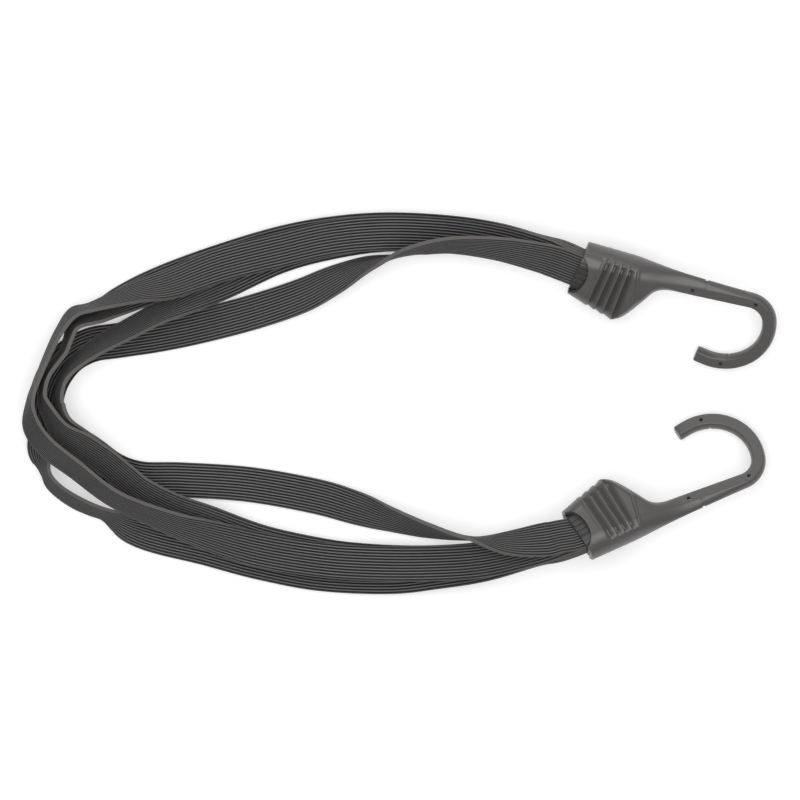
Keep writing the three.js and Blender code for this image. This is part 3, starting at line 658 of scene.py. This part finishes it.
def hook_body(name):
    """The moulding: a loft from the mouth to the point, with its cuts and with painted shade marked in the
    floors of its grooves.
    """
    lip, grip = lip_rings(), grip_places()
    shank = np.linspace(NECK_START, SHANK_LENGTH, SHANK_STEPS)[1:]
    bend = np.linspace(0, BEND_SWEEP, BEND_STEPS)[1:]
    rings = lip + [socket_ring(x, gripped=True) for x in grip] + [socket_ring(x) for x in shank]
    rings += [bend_ring(degrees) for degrees in bend] + point_rings()
    body = loft(name, rings, moulding)
    # Painted shade, strongest in the floors of the grooves
    shade = np.zeros((len(rings), len(rings[0])))
    for row, x in enumerate(grip, len(lip)):
        shape = outline_at(x)
        shade[row] = grip_depth(x, outline_ring(shape)[:, 0], shape)[1]
    shade_points(body, "groove", shade.ravel())
    cut(body, *hook_cutters())
    weld(body)
    sharpen(body, HOOK_CREASE)
    return body


def hook_collar(name):
    """The oval collar in the mouth, with an opening for the bands and slots across both faces."""
    inset = SOCKET_WALL + FIT_GAP
    rings = [socket_ring(x, inset) for x in np.linspace(0, COLLAR_DEPTH, COLLAR_STEPS)]
    collar = loft(name, rings, collar_plastic)
    stack = BAND_COUNT * LAYER_PITCH + 2 * FIT_GAP
    opening = at_mouth(rectangle(COLLAR_CUT, BAND_WIDTH + 2 * FIT_GAP))
    cutters = [prism("opening", opening, -stack / 2, stack / 2, collar_plastic)]
    face = SOCKET_THICKNESS / 2 - inset
    for i in range(COLLAR_SLOTS):
        middle = (0, ((i + 0.5) / COLLAR_SLOTS - 0.5) * BAND_WIDTH)
        slot = at_mouth(rectangle(COLLAR_CUT, COLLAR_SLOT_WIDTH) + middle)
        for side in (-face, face):
            low, high = side - COLLAR_SLOT_DEPTH, side + COLLAR_SLOT_DEPTH
            cutters.append(prism("slot", slot, low, high, collar_plastic))
    cut(collar, *cutters)
    weld(collar)
    sharpen(collar, HOOK_CREASE)
    return collar


def hook_matrix(place, body):
    """Where a hook lies, with the lowest point of its body on the table."""
    tilt_axis = Matrix.Rotation(math.radians(place["tilt_axis"]), 3, "Z") @ Vector((1, 0, 0))
    turn = Matrix.Rotation(math.radians(place["tilt"]), 4, tilt_axis)
    turn = turn @ Matrix.Rotation(math.radians(place["heading"]), 4, "Z")
    if place["up"] < 0:
        turn = turn @ Matrix.Rotation(math.pi, 4, "X")
    pin = turn @ Vector((FIRST_PIN, 0, place["up"] * ROD_THICKNESS / 2))
    lowest = min((turn @ v.co).z for v in body.data.vertices)
    return Matrix.Translation((place["at"][0] - pin.x, place["at"][1] - pin.y, -lowest)) @ turn


hook_places = {}
for hook, place in HOOKS.items():
    body = hook_body(hook + "_shell")
    collar = hook_collar(hook + "_mouth")
    hook_places[hook] = hook_matrix(place, body)
    for piece, node in [(body, hook + "_body"), (collar, hook + "_collar")]:
        piece.data.transform(hook_places[hook])
        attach(piece, hook)
        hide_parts(node)
    for slot, finish in [("core", steel), ("wedge", wedge_plastic)]:
        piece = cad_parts[f"{hook}_{slot}"]
        piece.data.materials.clear()
        piece.data.materials.append(finish)


# Bands
def layer_height(layer, depth):
    """Height of a band in its socket: the stack parts for the wedge, and a little outside the mouth."""
    spread = WEDGE_BACK / 2 + FIT_GAP + BAND_THICKNESS / 2 - LAYER_PITCH / 2
    part = max(depth - COLLAR_DEPTH, 0) / (TAIL_LENGTH - COLLAR_DEPTH)
    from_middle = (BAND_COUNT - 1) / 2 - layer
    outside = FIT_GAP if depth < 0 else 0
    return from_middle * (LAYER_PITCH + outside) + math.copysign(spread * part, from_middle)


def tail_points(hook, layer, turned_over, swing):
    """Points and width directions of a band inside a hook and just outside it, deepest first."""
    matrix, up = hook_places[hook], HOOKS[hook]["up"]
    wide = matrix.to_3x3() @ Vector((math.sin(MOUTH_SLANT), math.cos(MOUTH_SLANT), 0))
    if turned_over:
        wide.negate()
    steps = [(i / TAIL_POINTS * TAIL_LENGTH, MOUTH_SLANT) for i in range(TAIL_POINTS, -1, -1)]
    steps.append((-LEAD_LENGTH, MOUTH_SLANT - math.radians(swing)))
    found = []
    for depth, slant in steps:
        x, y = depth * math.cos(slant), MOUTH_CENTRE - depth * math.sin(slant)
        place = matrix @ Vector((x, y, up * layer_height(layer, depth)))
        found.append((np.array(place), np.array(wide)))
    return found


def band_controls(name):
    """Points and width directions of a band from the bottom of one socket to the bottom of the other."""
    layers, route = LAYERS[name], ROUTES[name]
    places = [np.array(p[:3]) for p in route]
    free = []
    for i, place in enumerate(places):
        travel = unit(places[min(i + 1, len(places) - 1)] - places[max(i - 1, 0)])
        outward = unit(np.cross(travel, (0, 0, 1)))
        upward = np.cross(outward, travel)
        roll = math.radians(route[i][3])
        free.append((place, outward * math.cos(roll) + upward * math.sin(roll)))
    start = tail_points("hook_a", layers["hook_a"], False, 0)
    end = tail_points("hook_b", layers["hook_b"], layers["turned"], layers["swing"])
    controls = start + free + end[::-1]
    return np.array([c[0] for c in controls]), np.array([c[1] for c in controls])


def through(points):
    """A smooth line through the points, and its direction, at even steps between each two."""
    before, after = 2 * points[0] - points[1], 2 * points[-1] - points[-2]
    p = np.concatenate([[before], points, [after]])
    line, travel = [], []
    last = len(points) - 2
    for i in range(last + 1):
        p0, p1, p2, p3 = p[i : i + 4]
        t = np.linspace(0, 1, STEPS_PER_CONTROL, endpoint=False)[:, None]
        if i == last:
            t = np.append(t, [[1.0]], axis=0)
        a, b = (p2 - p0) / 2, (p3 - p1) / 2
        c = 3 * (p2 - p1) - 2 * a - b
        d = 2 * (p1 - p2) + a + b
        line.append(p1 + a * t + c * t**2 + d * t**3)
        travel.append(a + 2 * c * t + 3 * d * t**2)
    return np.concatenate(line), np.concatenate(travel)


def band_section():
    """Points (across, through) of the ribbed section, and how far each is in a valley, with its darker gaps
    and painted shade, or at an edge.
    """
    wide = np.linspace(-BAND_WIDTH / 2, BAND_WIDTH / 2, RIBS * RIB_STEPS + 1)
    phase = wide / BAND_WIDTH * RIBS * math.pi
    # Mask of the valleys' darker gaps and painted shade: high everywhere but on a narrow line at each crest,
    # which stays as a painted highlight
    gap_and_shade = np.abs(np.sin(phase)) ** RIB_SHARPNESS
    high = BAND_THICKNESS / 2 - RIB_DEPTH * (1 - np.abs(np.cos(phase)))
    section = np.concatenate([np.stack([wide, -high], 1), np.stack([wide, high], 1)[::-1]])
    edge = smoothstep(np.abs(section[:, 0]), BAND_WIDTH / 2 - BAND_SELVAGE, BAND_WIDTH / 2)
    return section, {"gap_and_shade": np.concatenate([gap_and_shade, gap_and_shade[::-1]]), "edge": edge}


def half_band(name, line, travel, wide):
    """One closed half of a band, between the left bend and its end in a socket."""
    travel = unit(travel)
    wide = unit(wide - travel * np.sum(wide * travel, axis=1)[:, None])
    normal = np.cross(travel, wide)
    section, shades = band_section()
    rings = [c + section[:, :1] * w + section[:, 1:] * n for c, w, n in zip(line, wide, normal)]
    half = loft(name, rings, elastic)
    for shade, values in shades.items():
        shade_points(half, shade, np.tile(values, len(rings)))
    sharpen(half, BAND_CREASE)
    return half


for name in ROUTES:
    points, widths = band_controls(name)
    line, travel = through(points)
    wide, _ = through(widths)
    middle = int(np.argmin(line[:, 0]))
    halves = [("upper", "hook_a", slice(0, middle + 1)), ("lower", "hook_b", slice(middle, None))]
    for side, hook, span in halves:
        half = half_band(f"{name}_{side}", line[span], travel[span], wide[span])
        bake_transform(half)
        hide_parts(name)


# Table
def glowing_paper():
    """Pale paper that also glows where the camera sees it, directly or in a reflection."""
    paper = material("paper", PAPER_COLOR, PAPER_ROUGHNESS)
    tree, shader = paper.node_tree, shader_of(paper)
    shader.inputs["Emission Color"].default_value = WHITE
    path = tree.nodes.new("ShaderNodeLightPath")
    seen = path.outputs["Is Camera Ray"]
    for ray in ("Is Glossy Ray", "Is Transmission Ray"):
        either = tree.nodes.new("ShaderNodeMath")
        either.operation = "MAXIMUM"
        tree.links.new(seen, either.inputs[0])
        tree.links.new(path.outputs[ray], either.inputs[1])
        seen = either.outputs["Value"]
    glow = tree.nodes.new("ShaderNodeMath")
    glow.operation = "MULTIPLY"
    glow.inputs[1].default_value = PAPER_GLOW
    tree.links.new(seen, glow.inputs[0])
    tree.links.new(glow.outputs["Value"], shader.inputs["Emission Strength"])
    return paper


floor = rectangle(FLOOR_SPAN, FLOOR_SPAN)
corners = np.column_stack([floor, np.full(len(floor), -FLOOR_DROP)])
mesh_object("floor", corners, [(0, 1, 2, 3)], glowing_paper())
